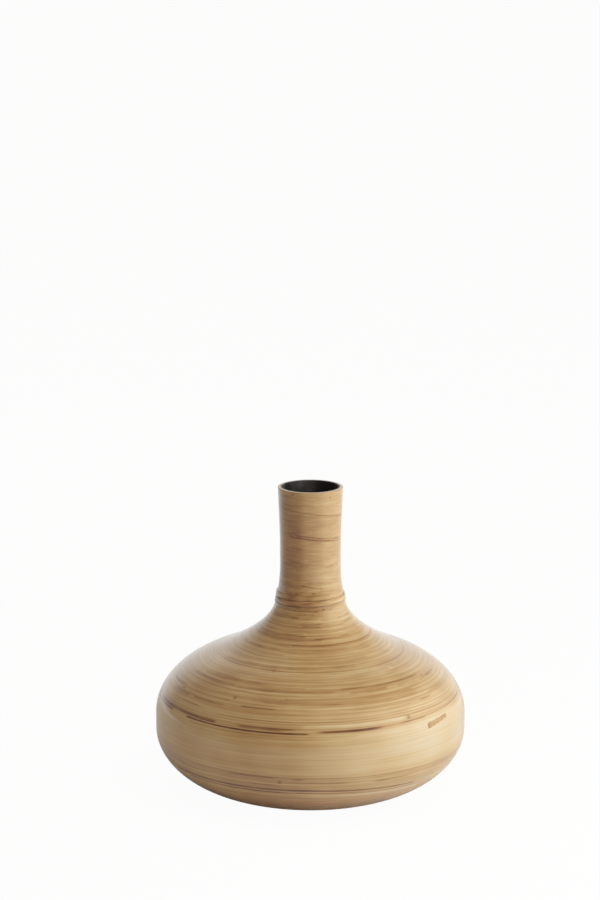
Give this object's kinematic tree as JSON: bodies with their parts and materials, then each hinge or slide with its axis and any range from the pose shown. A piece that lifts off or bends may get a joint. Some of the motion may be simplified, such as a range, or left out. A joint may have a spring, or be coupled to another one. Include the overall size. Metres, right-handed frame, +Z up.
{
  "type": "vase",
  "caption": "Low round bottle vase of coiled bamboo splints, with a narrow waisted neck wound with a broad strip",
  "frame": {"origin": "middle of the foot, on the surface that the vase stands on", "axes": "+Z up along the vase's own axis, out through the mouth; -Y is the front"},
  "size_m": [0.3, 0.3, 0.299],
  "materials": {
    "bamboo": "split bamboo, sanded and coated with clear semi-gloss lacquer",
    "dark_bamboo": "dark bamboo splint under clear semi-gloss lacquer",
    "black_lacquer": "black semi-gloss lacquer coat"
  },
  "bodies": {
    "root": {"floor_core": "bamboo", "floor_coil": "bamboo", "bowl_coil_1": "bamboo", "bowl_coil_2": "bamboo", "bowl_coil_3": "bamboo", "belly_band": "bamboo", "shoulder_coil_1": "bamboo", "shoulder_coil_2": "bamboo", "shoulder_coil_3": "bamboo", "shoulder_coil_4": "bamboo", "shoulder_coil_5": "bamboo", "throat": "bamboo", "neck_core": "bamboo", "neck_wrap": "bamboo", "neck_binding": "bamboo", "dark_splint": "dark_bamboo", "neck_lining": "black_lacquer"}
  },
  "joints": []
}
